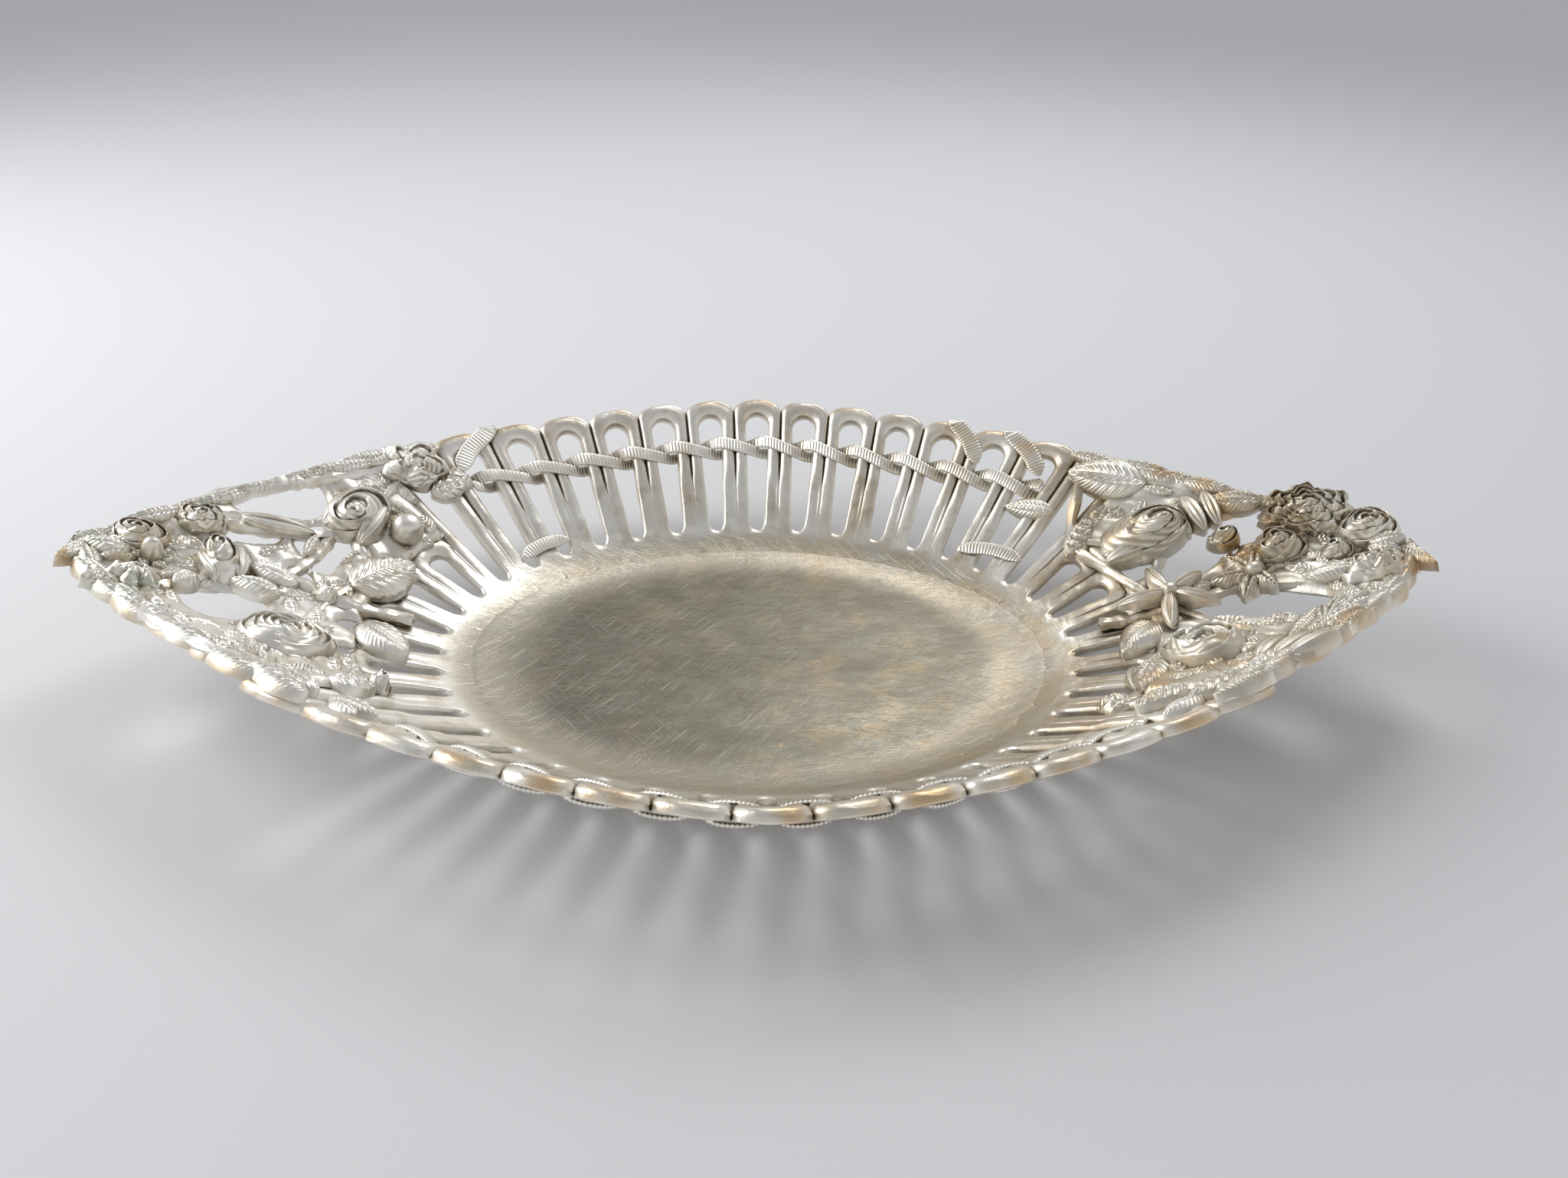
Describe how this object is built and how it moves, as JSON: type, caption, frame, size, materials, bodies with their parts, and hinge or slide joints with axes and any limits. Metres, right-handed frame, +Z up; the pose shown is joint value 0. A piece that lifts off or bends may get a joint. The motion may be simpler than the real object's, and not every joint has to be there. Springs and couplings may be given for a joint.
{
  "type": "pierced oval basket",
  "caption": "Shallow oval basket with a pierced gallery of bent hoops, twined strands below its scalloped rim and pointed openwork ends of stems, roses, buds and leaves.",
  "frame": {"origin": "centre of the oval floor, on the surface the basket stands on", "axes": "+X along the basket towards the end with the larger foliage, +Y towards the far long side, +Z up"},
  "size_m": [0.3789, 0.2116, 0.0515],
  "materials": {
    "aged_silver_plate": "aged silver plate over cast metal, satin with fine grain",
    "dull_silver_plate": "dull silver plate, brushed and scratched",
    "worn_silver_plate": "silver plate worn towards the yellow base metal"
  },
  "bodies": {
    "root": {"far_gallery": "aged_silver_plate", "near_gallery": "aged_silver_plate", "right_gallery": "aged_silver_plate", "left_gallery": "aged_silver_plate", "far_strand_one": "aged_silver_plate", "far_strand_two": "aged_silver_plate", "near_strand_one": "aged_silver_plate", "near_strand_two": "aged_silver_plate", "left_rim_binding": "aged_silver_plate", "right_inner_rim_binding": "worn_silver_plate", "right_outer_rim_binding": "worn_silver_plate", "left_ribbon_tail": "aged_silver_plate", "right_ribbon_tail": "worn_silver_plate", "floor_plate": "dull_silver_plate", "left_stems": "aged_silver_plate", "right_stems": "worn_silver_plate", "left_tip_leaf": "worn_silver_plate", "left_tip_rosebud": "worn_silver_plate", "left_daisy": "worn_silver_plate", "left_ball_bud": "aged_silver_plate", "left_blossom": "aged_silver_plate", "left_tall_bud": "aged_silver_plate", "left_small_leaf": "aged_silver_plate", "left_almond_leaf": "aged_silver_plate", "left_two_lobed_leaf": "aged_silver_plate", "left_ribbon": "aged_silver_plate", "left_folded_rose": "worn_silver_plate", "left_ruffled_flower": "aged_silver_plate", "left_pearl": "aged_silver_plate", "left_button": "aged_silver_plate", "left_veined_leaf": "aged_silver_plate", "left_knot": "aged_silver_plate", "left_open_rose": "aged_silver_plate", "left_shell_leaf": "aged_silver_plate", "left_acorn": "aged_silver_plate", "left_rim_leaf": "worn_silver_plate", "right_rim_leaf": "aged_silver_plate", "right_band_leaf": "aged_silver_plate", "right_egg_bud": "worn_silver_plate", "right_rolled_petals": "worn_silver_plate", "right_pinnate_leaf": "worn_silver_plate", "right_carnation": "worn_silver_plate", "right_upper_rose": "aged_silver_plate", "right_tip_petals": "worn_silver_plate", "right_lower_rose": "aged_silver_plate", "right_small_bud": "worn_silver_plate", "right_lily": "worn_silver_plate", "right_maple_leaf": "worn_silver_plate", "right_oval_leaf": "worn_silver_plate", "right_round_petal": "worn_silver_plate", "right_side_leaf": "worn_silver_plate", "right_star_blossom": "aged_silver_plate", "right_broad_petal": "aged_silver_plate", "right_cup_rose": "worn_silver_plate", "right_leaf_bundle": "aged_silver_plate", "right_palm_leaf": "worn_silver_plate", "right_curled_petal": "worn_silver_plate", "right_round_leaf": "aged_silver_plate", "right_edge_leaf": "aged_silver_plate"}
  },
  "joints": []
}
